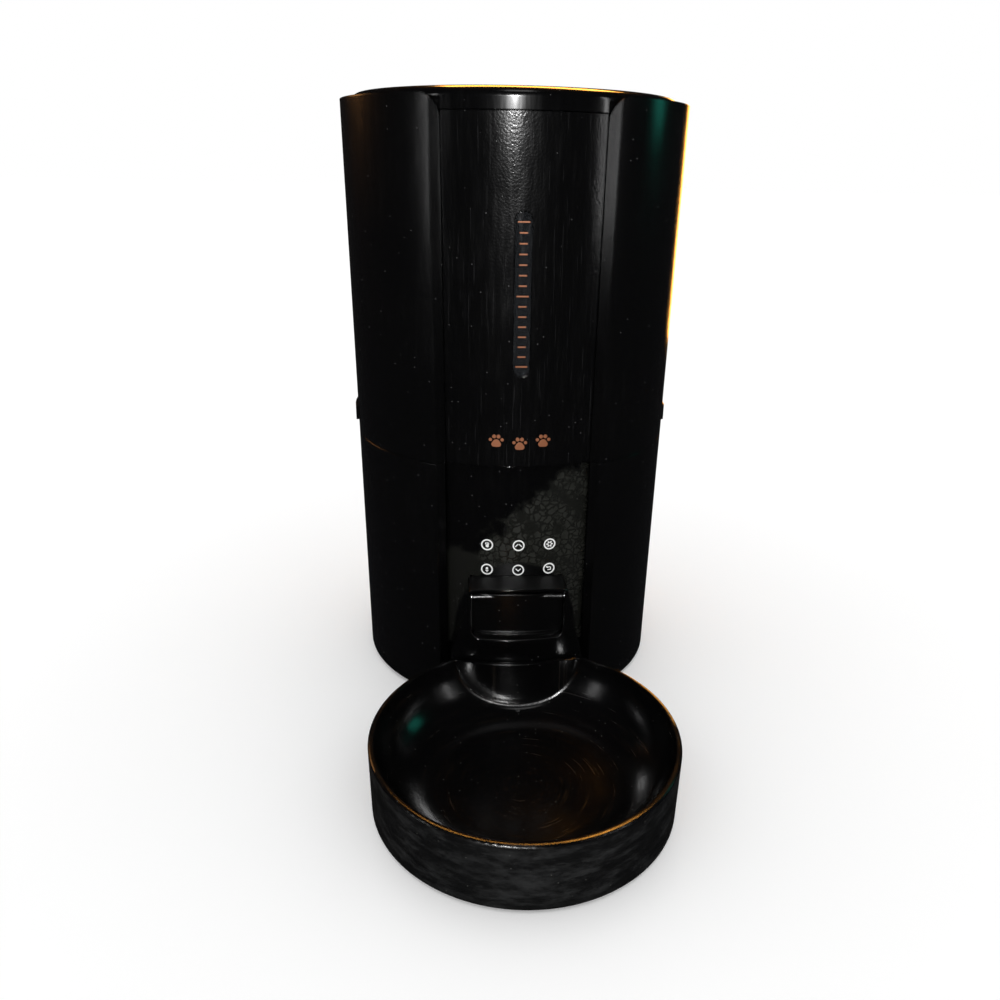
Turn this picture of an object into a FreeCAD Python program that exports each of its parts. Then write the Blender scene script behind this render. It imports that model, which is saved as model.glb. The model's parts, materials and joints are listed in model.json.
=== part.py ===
import FreeCAD, Part
import math
import os

import Sketcher

# Automatic pet feeder. Millimetres, +Z up, front towards -Y. Everything is drawn about the
# tower's axis and moved back by tower_y, so that the origin is under the middle of the whole.

SIZES = {
    # tower
    "tower_y": 76.75, "top_radius": 100.0, "seam_radius": 97.8, "base_radius": 96.1,
    "base_bottom": 3.0, "seam_z": 155.5, "part_gap": 0.3, "rim_z": 346.4, "wall": 2.6,
    "wing_angle": 28.5, "channel_angle": 26.0, "channel_depth": 8.25, "panel_depth": 6.0,
    "panel_thick": 2.2, "panel_top": 338.3, "wing_round": 12.0, "wing_round_x": 54.0,
    # lid
    "lid_radius": 94.0, "lid_recess": 94.4, "mouth_radius": 88.0, "ledge_bottom": 333.0,
    "lid_top": 350.2, "lid_edge": 5.0, "lid_wall": 2.6, "plate_radius": 91.2,
    "seal_radius": 87.65, "seal_inner": 86.4, "sachet_x": 60.0, "sachet_y": 44.0,
    "sachet_bottom": 320.9, "sachet_wall": 1.5,
    # level window and marks
    "window_z": 249.75, "window_tall": 84.5, "window_wide": 9.0, "window_front": 92.1,
    "window_back": 91.15, "lug_back": 88.2, "lug_wide": 6.8, "tick_count": 15,
    "tick_pitch": 5.3, "tick_tall": 0.8, "tick_long": 6.4, "tick_short": 4.2, "print_thick": 0.2,
    "emblem_z": 170.0, "emblem_pitch": 13.0, "emblem_radius": 92.05,
    # metering
    "floor_bottom": 157.5, "floor_thick": 2.5, "cup_radius": 47.0, "cup_wall": 2.0,
    "cup_top": 186.2, "funnel_top": 222.0, "rotor_bottom": 160.6, "rotor_top": 183.6,
    "hub_radius": 12.0, "vane_reach": 46.3, "vane_thick": 2.0, "vane_count": 6,
    "coupler_radius": 7.2, "lug_length": 16.4, "lug_thick": 4.3, "shaft_radius": 4.0,
    "stir_reach": 36.0, "stir_z": 188.0, "stir_top": 206.0,
    # release buttons
    "button_z": 166.0, "button_tall": 10.0, "button_wide": 27.0, "button_face": 99.6,
    "button_gap": 0.5, "leg_x": 89.5, "leg_thick": 3.0, "spring_seat": 82.0,
    # base
    "deck_z": 152.3, "deck_thick": 2.9, "post_at": 63.6, "post_radius": 5.8,
    "plate_thick": 2.5, "screw_radius": 1.5, "head_radius": 3.0, "head_thick": 1.4,
    "head_sink": 1.5, "leaf_thick": 0.35, "face_y": 81.5, "face_radius": 89.0,
    "face_thick": 2.5, "face_half": 41.5, "nose_radius": 106.5, "nose_half": 39.3, "nose_top": 37.8,
    "foot_radius": 7.0, "foot_x": 52.0, "foot_y": 58.0,
    # outlet
    "hood_half": 38.9, "hood_bottom": 38.1, "hood_apex": 86.6, "hood_crown": 200.0,
    "hood_shoulder": 29.4, "mouth_half": 27.2, "mouth_low": 53.3, "mouth_high": 85.0,
    "mouth_corner": 2.5, "mouth_foot": 6.0, "flap_foot": 5.4, "mouth_rear": 82.6,
    "pin_y": 100.6, "pin_z": 79.3, "pin_radius": 1.25, "pin_clear": 0.06, "flap_radius": 104.0, "flap_thick": 2.2,
    "flap_half": 26.6, "flap_low": 54.4, "flap_high": 81.8, "chute_half": 25.2,
    "chute_wall": 1.8,
    # touch marks
    "icon_pitch": 18.35, "icon_x": 0.75, "icon_high": 106.2, "icon_low": 90.4,
    "icon_radius": 3.5, "icon_ring": 0.8, "icon_line": 0.55,
    # battery bay
    "bay_half": 54.0, "bay_front": 27.0, "bay_back": 43.0, "bay_top": 45.0, "bay_wall": 1.6,
    "cell_radius": 16.3, "cell_pitch": 34.4, "cell_length": 59.5, "door_gap": 0.4,
    # bowl
    "bowl_y": 172.75, "bowl_radius": 80.7, "bowl_foot": 80.0, "bowl_tall": 39.1,
    "bowl_low": 0.8, "bowl_floor": 4.2, "bowl_round": 36.0, "bowl_inner": 77.9,
    "bite_radius": 107.5, "bite_wall": 2.8, "bite_blend": 4.5,
}

doc = FreeCAD.newDocument("pet_feeder")
sheet = doc.addObject("Spreadsheet::Sheet", "Dims")
for row, (alias, size) in enumerate(SIZES.items(), start=1):
    sheet.set(f"A{row}", alias)
    sheet.set(f"B{row}", str(size))
    sheet.setAlias(f"B{row}", alias)
doc.recompute()


class Dim:
    """A size together with the sheet expression it comes from."""

    def __init__(self, value, text):
        self.value, self.text = value, text

    def __add__(self, other):
        return Dim(self.value + num(other), f"({self.text} + {expr(other)})")

    def __sub__(self, other):
        return Dim(self.value - num(other), f"({self.text} - {expr(other)})")

    def __mul__(self, other):
        return Dim(self.value * num(other), f"({self.text} * {expr(other)})")

    def __truediv__(self, other):
        return Dim(self.value / num(other), f"({self.text} / {expr(other)})")

    def __neg__(self):
        return self * -1.0

    def __radd__(self, other):
        return self + other

    def __rmul__(self, other):
        return self * other

    def __rsub__(self, other):
        return -self + other


def num(size):
    return size.value if isinstance(size, Dim) else float(size)


def expr(size):
    return size.text if isinstance(size, Dim) else f"({float(size):.6g})"


def sine(size):
    return Dim(math.sin(math.radians(num(size))), f"sin({expr(size)})")


def cosine(size):
    return Dim(math.cos(math.radians(num(size))), f"cos({expr(size)})")


def root(size):
    return Dim(math.sqrt(num(size)), f"sqrt({expr(size)})")


def chord_y(radius, x):
    """Front (-Y) coordinate of the circle about the tower axis at a given x."""
    return -root(radius * radius - x * x)


def bind(item, prop, size):
    if isinstance(size, Dim):
        item.setExpression(prop, size.text)
    else:
        steps = prop.split(".")
        if len(steps) == 1:
            setattr(item, prop, float(size))
        else:
            item.setExpression(prop, expr(size))


D = type("Sizes", (), {k: Dim(float(v), f"Dims.{k}") for k, v in SIZES.items()})

nodes = []
placed_y = {}       # where place() put each item along Y, before the tower's own offset


def node(item, label):
    """Names a finished piece and moves it with the tower's axis."""
    item.Label = label
    bind(item, "Placement.Base.y", D.tower_y + placed_y.get(item.Name, 0.0))
    nodes.append(item)
    return item


# ---------------------------------------------------------------- Part primitives

def place(item, x, y, z):
    bind(item, "Placement.Base.x", x)
    bind(item, "Placement.Base.y", y)
    bind(item, "Placement.Base.z", z)
    placed_y[item.Name] = y
    return item


def box(x0, x1, y0, y1, z0, z1):
    item = doc.addObject("Part::Box", "Block")
    bind(item, "Length", x1 - x0)
    bind(item, "Width", y1 - y0)
    bind(item, "Height", z1 - z0)
    return place(item, x0, y0, z0)


TURNS = {"Z": FreeCAD.Rotation(),
         "X": FreeCAD.Rotation(FreeCAD.Vector(0, 1, 0), 90),
         "Y": FreeCAD.Rotation(FreeCAD.Vector(1, 0, 0), -90)}


def rod(radius, length, x, y, z, axis="Z"):
    item = doc.addObject("Part::Cylinder", "Rod")
    bind(item, "Radius", radius)
    bind(item, "Height", length)
    item.Placement.Rotation = TURNS[axis]
    return place(item, x, y, z)


def join(kind, first, second):
    item = doc.addObject(f"Part::{kind}", kind)
    item.Base, item.Tool = first, second
    return item


def cut(first, second):
    return join("Cut", first, second)


def fuse(*items):
    item = doc.addObject("Part::MultiFuse", "Fused")
    item.Shapes = list(items)
    return item


def group(items):
    item = doc.addObject("Part::Compound", "Group")
    item.Links = list(items)
    return item


def tube(outer, inner, length, x, y, z, axis="Z"):
    return cut(rod(outer, length, x, y, z, axis), rod(inner, length, x, y, z, axis))


def blend_edges(item, radius, test):
    """Rounds the edges of a finished shape for which test(edge) is true."""
    doc.recompute()
    chosen = [i for i, edge in enumerate(item.Shape.Edges, start=1) if test(edge)]
    rounded = doc.addObject("Part::Fillet", "Blend")
    rounded.Base = item
    rounded.Edges = [(i, num(radius), num(radius)) for i in chosen]
    return rounded


def leaf_spring(name, foot, tip, middle, low, tall, axis):
    """Bent strip: a flat foot at one end of the axis, folded back into an arm that leans on the tip."""
    side = 1.0 if num(tip) > num(foot) else -1.0
    t = D.leaf_thick * side
    line = [(foot, -4.0), (foot, 4.2), (foot + t * 1.5, 4.2), (tip, -3.4), (tip - t * 1.2, -3.6),
            (foot + t, 3.2), (foot + t, -4.0), (foot, -4.0)]
    points = [(a, middle + b) if axis == "X" else (middle + b, a) for a, b in line]
    path = Path(*points[0])
    for point in points[1:]:
        path.to(*point)
    spring = Piece(name)
    spring.pad(spring.sketch("XY", low, path), tall)
    return spring.body


# ---------------------------------------------------------------- PartDesign bodies

class Path:
    """Closed outline: a start point, then lines and arcs to further points."""

    def __init__(self, x, y):
        self.start, self.runs = (x, y), []

    def to(self, x, y):
        self.runs.append(((x, y), None))
        return self

    def arc(self, x, y, cx, cy, radius, ccw=True):
        self.runs.append(((x, y), (cx, cy, radius, ccw)))
        return self


def fix(sketch, kind, geo, pos, size):
    index = sketch.addConstraint(Sketcher.Constraint(kind, -1, 1, geo, pos, num(size)))
    if isinstance(size, Dim):
        sketch.setExpression(f"Constraints[{index}]", size.text)


def fix_point(sketch, geo, pos, x, y, along="XY"):
    if "X" in along:
        if not isinstance(x, Dim) and x == 0:
            sketch.addConstraint(Sketcher.Constraint("PointOnObject", geo, pos, -2))
        else:
            fix(sketch, "DistanceX", geo, pos, x)
    if "Y" in along:
        if not isinstance(y, Dim) and y == 0:
            sketch.addConstraint(Sketcher.Constraint("PointOnObject", geo, pos, -1))
        else:
            fix(sketch, "DistanceY", geo, pos, y)


def draw(sketch, path):
    """Adds an outline to a sketch, every point and radius bound to its own size."""
    points = [path.start] + [end for end, _ in path.runs]
    closed = all(abs(num(a) - num(b)) < 1e-9 for a, b in zip(points[0], points[-1]))
    runs = path.runs if closed else path.runs + [(path.start, None)]
    count = len(runs)
    ends, touching = [], [[] for _ in range(count)]
    start = path.start
    for i, (end, bend) in enumerate(runs):
        a = FreeCAD.Vector(num(start[0]), num(start[1]), 0)
        b = FreeCAD.Vector(num(end[0]), num(end[1]), 0)
        if bend is None:
            geo = sketch.addGeometry(Part.LineSegment(a, b), False)
            ends.append((geo, 1, 2))
        else:
            cx, cy, radius, ccw = bend
            centre = FreeCAD.Vector(num(cx), num(cy), 0)
            first, last = (a, b) if ccw else (b, a)
            t0 = math.atan2(first.y - centre.y, first.x - centre.x)
            t1 = math.atan2(last.y - centre.y, last.x - centre.x)
            t1 += 2 * math.pi if t1 <= t0 else 0
            circle = Part.Circle(centre, FreeCAD.Vector(0, 0, 1), num(radius))
            geo = sketch.addGeometry(Part.ArcOfCircle(circle, t0, t1), False)
            ends.append((geo, 1, 2) if ccw else (geo, 2, 1))
            fix_point(sketch, geo, 3, cx, cy)
            index = sketch.addConstraint(Sketcher.Constraint("Radius", geo, num(radius)))
            if isinstance(radius, Dim):
                sketch.setExpression(f"Constraints[{index}]", radius.text)
            touching[i].append(b - centre)
            touching[i - 1].append(a - centre)
        start = end
    for i in range(count):
        geo, _, tail = ends[i]
        following, head, _ = ends[(i + 1) % count]
        sketch.addConstraint(Sketcher.Constraint("Coincident", geo, tail, following, head))
    for i, (end, _) in enumerate(runs):
        arms = touching[i]
        if len(arms) < 2:
            along = "XY" if not arms else ("X" if abs(arms[0].y) >= abs(arms[0].x) else "Y")
            fix_point(sketch, ends[i][0], ends[i][2], end[0], end[1], along)


def draw_circle(sketch, x, y, radius):
    circle = Part.Circle(FreeCAD.Vector(num(x), num(y), 0), FreeCAD.Vector(0, 0, 1), num(radius))
    geo = sketch.addGeometry(circle, False)
    fix_point(sketch, geo, 3, x, y)
    index = sketch.addConstraint(Sketcher.Constraint("Radius", geo, num(radius)))
    if isinstance(radius, Dim):
        sketch.setExpression(f"Constraints[{index}]", radius.text)


def rect(x0, x1, y0, y1):
    return Path(x0, y0).to(x1, y0).to(x1, y1).to(x0, y1)


def upright_slot(half, low, high):
    """Round-ended vertical slot about x = 0."""
    return (Path(half, low + half).to(half, high - half)
            .arc(-half, high - half, 0, high - half, half)
            .to(-half, low + half).arc(half, low + half, 0, low + half, half))


class Piece:
    """A PartDesign body with short calls for the features used here."""

    def __init__(self, name):
        self.body = doc.addObject("PartDesign::Body", name)

    def sketch(self, plane, offset, *shapes):
        item = self.body.newObject("Sketcher::SketchObject", "Sketch")
        role = f"{plane}_Plane"
        origin = [o for o in self.body.Origin.OriginFeatures if o.Role == role][0]
        item.AttachmentSupport = [(origin, "")]
        item.MapMode = "FlatFace"
        bind(item, "AttachmentOffset.Base.z", offset)
        for shape in shapes:
            if isinstance(shape, Path):
                draw(item, shape)
            else:
                draw_circle(item, *shape)
        return item

    def add(self, kind, sketch, length, back=False, both=False):
        item = self.body.newObject(f"PartDesign::{kind}", kind)
        item.Profile = sketch
        bind(item, "Length", length)
        item.Reversed = back
        item.Midplane = both
        doc.recompute()
        return item

    def pad(self, sketch, length, back=False, both=False):
        return self.add("Pad", sketch, length, back, both)

    def pocket(self, sketch, length, back=False, both=False):
        """Cuts against the sketch's normal; back=True cuts along it."""
        before = self.body.Shape.Volume
        item = self.add("Pocket", sketch, length, back, both)
        if item.Shape.Volume >= before - 1e-6:
            raise RuntimeError(f"{self.body.Name}: {item.Name} cut nothing")
        return item

    def loft(self, first, last, kind="AdditiveLoft"):
        item = self.body.newObject(f"PartDesign::{kind}", kind)
        item.Profile, item.Sections, item.Ruled = first, [last], True
        doc.recompute()
        return item

    def turn(self, sketch):
        item = self.body.newObject("PartDesign::Revolution", "Revolution")
        item.Profile = sketch
        item.ReferenceAxis = (sketch, ["V_Axis"])
        item.Angle = 360.0
        doc.recompute()
        return item

    def around(self, feature, sketch, count):
        item = self.body.newObject("PartDesign::PolarPattern", "Pattern")
        item.Originals, item.Axis, item.Angle = [feature], (sketch, ["N_Axis"]), 360.0
        bind(item, "Occurrences", count)
        self.body.Tip = item
        doc.recompute()
        return item

    def fillet(self, radius, test):
        """Rounds the edges for which test(edge) is true."""
        doc.recompute()
        tip = self.body.Tip
        names = [f"Edge{i}" for i, edge in enumerate(tip.Shape.Edges, start=1) if test(edge)]
        item = self.body.newObject("PartDesign::Fillet", "Fillet")
        item.Base = (tip, names)
        bind(item, "Radius", radius)
        doc.recompute()
        return item


def tank_radius(z):
    rise = (z - D.seam_z) / (D.rim_z - D.seam_z)
    return D.seam_radius + (D.top_radius - D.seam_radius) * rise


def base_radius(z):
    rise = (z - D.base_bottom) / (D.seam_z - D.base_bottom)
    return D.base_radius + (D.seam_radius - D.base_radius) * rise


def channelled(radius, depth, wide_angle, deep_angle):
    """Round outline with the front channel: bevelled sides and a concentric floor."""
    wide_x, wide_y = radius * sine(wide_angle), -radius * cosine(wide_angle)
    floor = radius - depth
    deep_x, deep_y = floor * sine(deep_angle), -floor * cosine(deep_angle)
    return (Path(wide_x, wide_y).arc(-wide_x, wide_y, 0, 0, radius)
            .to(-deep_x, deep_y).arc(deep_x, deep_y, 0, 0, floor).to(wide_x, wide_y))


def tank_inside(z, gap):
    """Inner outline of the tank wall at a height, taken in by a gap."""
    return channelled(tank_radius(z) - D.wall - gap, D.channel_depth,
                      D.wing_angle + 1.1 + gap * 0.6, D.channel_angle + 1.0 + gap * 0.6)


def sector(inner, outer, half_inner, half_outer):
    """Plate curved about the tower axis, at the front."""
    return (Path(-half_outer, chord_y(outer, half_outer))
            .arc(half_outer, chord_y(outer, half_outer), 0, 0, outer)
            .to(half_inner, chord_y(inner, half_inner))
            .arc(-half_inner, chord_y(inner, half_inner), 0, 0, inner, ccw=False)
            .to(-half_outer, chord_y(outer, half_outer)))


def base_inside(z, gap):
    """Inner outline of the base wall, concentric behind the control panel."""
    radius = base_radius(z) - D.wall - gap
    side = D.wing_angle + 1.9 + gap * 0.6
    x, y = radius * sine(side), -radius * cosine(side)
    floor = D.face_radius - D.face_thick - D.wall - gap
    floor_x = D.face_half + 2.3 + gap
    floor_y = chord_y(floor, floor_x)
    return (Path(x, y).arc(-x, y, 0, 0, radius).to(-floor_x, floor_y)
            .arc(floor_x, floor_y, 0, 0, floor).to(x, y))


# ---------------------------------------------------------------- tank module

tank_low = D.seam_z + D.part_gap


def make_tank_housing():
    p = Piece("TankHousing")
    low = p.sketch("XY", tank_low, channelled(D.seam_radius, D.channel_depth,
                                              D.wing_angle, D.channel_angle))
    high = p.sketch("XY", D.rim_z, channelled(D.top_radius, D.channel_depth,
                                              D.wing_angle, D.channel_angle))
    p.loft(low, high)
    p.pocket(p.sketch("XY", D.rim_z, (0, 0, D.lid_recess)), D.rim_z - D.panel_top)
    p.pocket(p.sketch("XY", D.panel_top, (0, 0, D.mouth_radius)), D.panel_top - D.ledge_bottom)
    p.loft(p.sketch("XY", tank_low, tank_inside(tank_low, 0)),
           p.sketch("XY", D.ledge_bottom + 0.4, tank_inside(D.ledge_bottom + 0.4, 0)),
           "SubtractiveLoft")
    # screw bosses for the floor, inside the wall
    bosses = [(x * D.post_at, y * D.post_at, D.post_radius) for x in (-1, 1) for y in (-1, 1)]
    floor_top = D.floor_bottom + D.floor_thick
    p.pad(p.sketch("XY", floor_top + 0.1, *bosses), 18.0)
    pilots = [(x, y, D.screw_radius + 0.05) for x, y, _ in bosses]
    p.pocket(p.sketch("XY", floor_top + 0.1, *pilots), 12.0, back=True)
    # slot for the level window, holes for the release buttons, rounded wing corners
    slot = upright_slot(D.lug_wide / 2 + 0.2, D.window_z - D.window_tall / 2 + 1.1,
                        D.window_z + D.window_tall / 2 - 1.1)
    p.pocket(p.sketch("XZ", 0, slot), 110.0, back=True)
    half = D.button_wide / 2 + D.button_gap
    tall = D.button_tall / 2 + D.button_gap
    p.pocket(p.sketch("YZ", 0, rect(-half, half, D.button_z - tall, D.button_z + tall)),
             220.0, both=True)
    for side in (1, -1):
        left = (D.wing_round_x - D.wing_round) * side
        middle = D.wing_round_x * side
        corner_z = D.rim_z - D.wing_round
        corner = (Path(left, corner_z)
                  .arc(middle, D.rim_z, middle, corner_z, D.wing_round, ccw=side < 0)
                  .to(middle, D.rim_z + 2.0).to(36.0 * side, D.rim_z + 2.0)
                  .to(36.0 * side, corner_z).to(left, corner_z))
        p.pocket(p.sketch("XZ", 0, corner), 110.0, back=True)
    node(p.body, "tank_housing")


def make_front_panel():
    p = Piece("FrontPanel")

    def plate(z):
        outer = tank_radius(z) - D.panel_depth
        inner = outer - D.panel_thick
        return sector(inner, outer, inner * sine(D.wing_angle - 2.6), outer * sine(D.wing_angle - 2.0))

    p.loft(p.sketch("XY", tank_low, plate(tank_low)), p.sketch("XY", D.panel_top, plate(D.panel_top)))
    slot = upright_slot(D.window_wide / 2 + 0.1, D.window_z - D.window_tall / 2 - 0.1,
                        D.window_z + D.window_tall / 2 + 0.1)
    p.pocket(p.sketch("XZ", 0, slot), 110.0, back=True)
    node(p.body, "front_panel")


def make_level_window():
    p = Piece("LevelWindow")
    low, high = D.window_z - D.window_tall / 2, D.window_z + D.window_tall / 2
    p.pad(p.sketch("XZ", D.window_back, upright_slot(D.window_wide / 2, low, high)),
          D.window_front - D.window_back)
    p.pad(p.sketch("XZ", D.lug_back, upright_slot(D.lug_wide / 2, low + 1.3, high - 1.3)),
          D.window_back - D.lug_back)
    node(p.body, "level_window")
    marks = []
    count = int(SIZES["tick_count"])
    for i in range(count):
        width = D.tick_long if i % 7 == 0 else D.tick_short
        z = D.window_z + D.tick_pitch * (i - (count - 1) / 2)
        marks.append(box(-width / 2, width / 2, -D.window_front - D.print_thick, -D.window_front,
                         z - D.tick_tall / 2, z + D.tick_tall / 2))
    node(group(marks), "level_marks")


def make_emblem():
    """Three small paw prints, following the panel's curve."""
    shapes = []
    for i in (-1, 0, 1):
        x, z = D.emblem_pitch * i, D.emblem_z + (0.9 if i else -0.6)
        pads = [(0.0, -1.3, 2.2), (-1.2, -1.9, 1.5), (1.2, -1.9, 1.5)]
        shapes.append(fuse(*[rod(r, 12.0, x + dx, -98.0, z + dz, "Y") for dx, dz, r in pads]))
        for dx, dz, r in ((-3.2, 0.7, 0.95), (-1.2, 2.5, 1.1), (1.2, 2.5, 1.1), (3.2, 0.7, 0.95)):
            shapes.append(rod(r, 12.0, x + dx, -98.0, z + dz, "Y"))
    skin = tube(D.emblem_radius + D.print_thick, D.emblem_radius, 30.0, 0, 0, D.emblem_z - 15)
    node(join("Common", group(shapes), skin), "paw_emblem")


def make_tank_floor():
    p = Piece("TankFloor")
    p.pad(p.sketch("XY", D.floor_bottom, tank_inside(D.floor_bottom, 0.25)), D.floor_thick)
    top = D.floor_bottom + D.floor_thick
    wall = p.sketch("XY", top, (0, 0, D.cup_radius + D.cup_wall), (0, 0, D.cup_radius))
    p.pad(wall, D.cup_top - top)
    reach = D.cup_radius - 0.8
    drop = (Path(-22.0, -14.5).to(22.0, -14.5).to(22.0, chord_y(reach, Dim(22.0, "22")))
            .arc(-22.0, chord_y(reach, Dim(22.0, "22")), 0, 0, reach, ccw=False).to(-22.0, -14.5))
    holes = [(0, 0, 10.5)] + [(x * D.post_at, y * D.post_at, D.screw_radius + 0.2)
                              for x in (-1, 1) for y in (-1, 1)]
    p.pocket(p.sketch("XY", top, drop, *holes), D.floor_thick)
    for side in (-1, 1):
        # notch for the latch leg, and the seat its spring pushes on
        p.pocket(p.sketch("XY", top, rect(86.0 * side, 98.0 * side, -6.5, 6.5)), D.floor_thick)
        p.pad(p.sketch("XY", top, rect((D.spring_seat - 2.2) * side, D.spring_seat * side, -5.0, 5.0)),
              12.0)
    node(p.body, "tank_floor")
    screws = []
    for x in (-1, 1):
        for y in (-1, 1):
            screws.append(screw(D.post_at * x, D.post_at * y, D.floor_bottom, 11.5, up=True))
    node(group(screws), "tank_screws")


def screw(x, y, z, length, up):
    """Pan-head screw; its head's inner face is at z, the shank runs up or down from there."""
    head, shank = (z - D.head_thick, z - 0.2) if up else (z, z - length)
    return fuse(rod(D.head_radius, D.head_thick, x, y, head),
                rod(D.screw_radius, length + 0.2, x, y, shank))


def make_funnel():
    p = Piece("HopperFunnel")
    low, high = D.cup_top + 0.2, D.funnel_top

    def narrow(radius):
        return channelled(radius, 0.6, D.wing_angle + 1.1, D.channel_angle + 1.0)

    p.loft(p.sketch("XY", low, narrow(D.cup_radius + 1.9)), p.sketch("XY", high, tank_inside(high, 0.3)))
    p.loft(p.sketch("XY", low, narrow(D.cup_radius - 0.1)), p.sketch("XY", high, tank_inside(high, 2.3)),
           "SubtractiveLoft")
    node(p.body, "hopper_funnel")
    q = Piece("DropBaffle")
    q.pad(q.sketch("XY", D.rotor_top + 0.6, sector(Dim(14.0, "14"), D.cup_radius - 0.1,
                                                  Dim(8.0, "8"), Dim(27.0, "27"))), 1.8)
    node(q.body, "drop_baffle")


def make_rotor():
    p = Piece("PortionRotor")
    p.pad(p.sketch("XY", D.rotor_bottom, (0, 0, D.hub_radius)), D.rotor_top - D.rotor_bottom)
    half = D.vane_thick / 2
    plan = p.sketch("XY", D.rotor_bottom, rect(8.0, D.vane_reach, -half, half))
    vane = p.pad(plan, D.rotor_top - D.rotor_bottom)
    p.around(vane, plan, D.vane_count)
    p.pocket(p.sketch("XY", D.rotor_bottom, (0, 0, D.coupler_radius + 0.3)), 5.6, back=True)
    long_half, thick_half = D.lug_length / 2 + 0.4, D.lug_thick / 2 + 0.3
    p.pocket(p.sketch("XY", D.rotor_bottom, rect(-long_half, long_half, -thick_half, thick_half)),
             5.6, back=True)
    node(p.body, "portion_rotor")
    arms = [rod(8.0, 9.4, 0, 0, D.rotor_top)]
    for turn in (90.0, 210.0, 330.0):
        arm = doc.addObject("Part::Box", "Arm")
        bind(arm, "Length", D.stir_reach)
        bind(arm, "Width", 5.0)
        bind(arm, "Height", 2.4)
        spin = FreeCAD.Rotation(FreeCAD.Vector(0, 0, 1), turn)
        corner = spin.multVec(FreeCAD.Vector(0, -2.5, 0))
        arm.Placement = FreeCAD.Placement(corner, spin)
        bind(arm, "Placement.Base.z", D.stir_z)
        tip = Dim(math.cos(math.radians(turn)), f"cos({turn})") * D.stir_reach
        side = Dim(math.sin(math.radians(turn)), f"sin({turn})") * D.stir_reach
        arms += [arm, rod(2.5, D.stir_top - D.stir_z, tip, side, D.stir_z)]
    node(fuse(*arms), "stirrer")


def make_buttons():
    for side, label in ((-1, "left"), (1, "right")):
        half, tall = D.button_wide / 2, D.button_tall / 2
        near, far = (D.button_face + 2.0) * side, 86.0 * side
        low_x, high_x = (near, far) if side < 0 else (far, near)
        cap = join("Common",
                   box(low_x, high_x, -half, half, D.button_z - tall, D.button_z + tall),
                   tube(D.button_face, 94.2, D.button_tall + 10, 0, 0, D.button_z - tall - 5))
        outer, inner = (D.leg_x + D.leg_thick) * side, D.leg_x * side
        a, b = (outer, inner) if side < 0 else (inner, outer)
        leg = box(a, b, -5.0, 5.0, 147.0, D.button_z + 3)
        c, d = (95.5 * side, inner) if side < 0 else (inner, Dim(95.5, "95.5"))
        bridge = box(Dim(num(c), expr(c)), d, -5.0, 5.0, D.button_z - 3, D.button_z + 3)
        node(fuse(cap, leg, bridge), f"release_button_{label}")
        node(leaf_spring(f"ReleaseSpring{label.capitalize()}", (D.spring_seat + 0.05) * side,
                         (D.leg_x - 0.3) * side, 0.0, D.button_z - 3.0, 6.0, "X"),
             f"release_spring_{label}")


def make_lid():
    p = Piece("LidCover")
    r, e, low = D.lid_radius, D.lid_edge, D.panel_top + D.part_gap
    top, under = D.lid_top - 0.6, D.lid_top - D.lid_wall
    skirt = r - D.lid_wall
    p.turn(p.sketch("XZ", 0, Path(0, D.lid_top).to(0, under).to(skirt - 2.5, under - 0.6)
                    .to(skirt, under - 3.0).to(skirt, low).to(r, low).to(r, top - e)
                    .arc(r - e, top, r - e, top - e, e).to(0, D.lid_top)))
    node(p.body, "lid_cover")
    q = Piece("LidInnerPlate")
    q.pad(q.sketch("XY", low + 0.4, (0, 0, D.plate_radius)), 2.0)
    q.pad(q.sketch("XY", low + 0.4, (0, 0, D.seal_inner), (0, 0, D.seal_inner - 2.4)), 5.0, back=True)
    node(q.body, "lid_inner_plate")
    node(tube(D.seal_radius, D.seal_inner, 2.2, 0, 0, low - 3.4), "lid_seal")
    hx, hy, t = D.sachet_x / 2, D.sachet_y / 2, D.sachet_wall
    plate_low = low + 0.4
    holder = cut(box(-hx, hx, -hy, hy, D.sachet_bottom, plate_low),
                 box(-hx + t, hx - t, -hy + t, hy - t, D.sachet_bottom, plate_low - t))
    node(holder, "desiccant_box")
    node(box(-hx + 2.2, hx - 2.2, -hy + 2.2, hy - 2.2, D.sachet_bottom + 1.2, plate_low - t - 0.3),
         "desiccant_bag")
    c = Piece("DesiccantCap")
    c.pad(c.sketch("XY", D.sachet_bottom - 0.3, rect(-hx, hx, -hy, hy)), 1.7, back=True)
    slots = [rect(x - 1.2, x + 1.2, -15.0, 15.0) for x in range(-22, 23, 4)]
    c.pocket(c.sketch("XY", D.sachet_bottom - 0.3, *slots), 1.7)
    node(c.body, "desiccant_cap")


# ---------------------------------------------------------------- base module

POSTS = [(x, y) for x in (-1, 1) for y in (-1, 1)]


def base_outline(radius):
    """Round outline whose front channel is stepped in for the bowed control panel."""
    x, y = radius * sine(D.wing_angle), -radius * cosine(D.wing_angle)
    floor, half = D.face_radius - D.face_thick, D.face_half
    floor_y = chord_y(floor, half)
    return (Path(x, y).arc(-x, y, 0, 0, radius).to(-half, -D.face_y).to(-half, floor_y)
            .arc(half, floor_y, 0, 0, floor).to(half, -D.face_y).to(x, y))


def nose_outline(radius, half, back_radius):
    front, back = chord_y(radius, half), chord_y(back_radius, half)
    return (Path(-half, front).arc(half, front, 0, 0, radius).to(half, back)
            .arc(-half, back, 0, 0, back_radius, ccw=False).to(-half, front))


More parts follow.
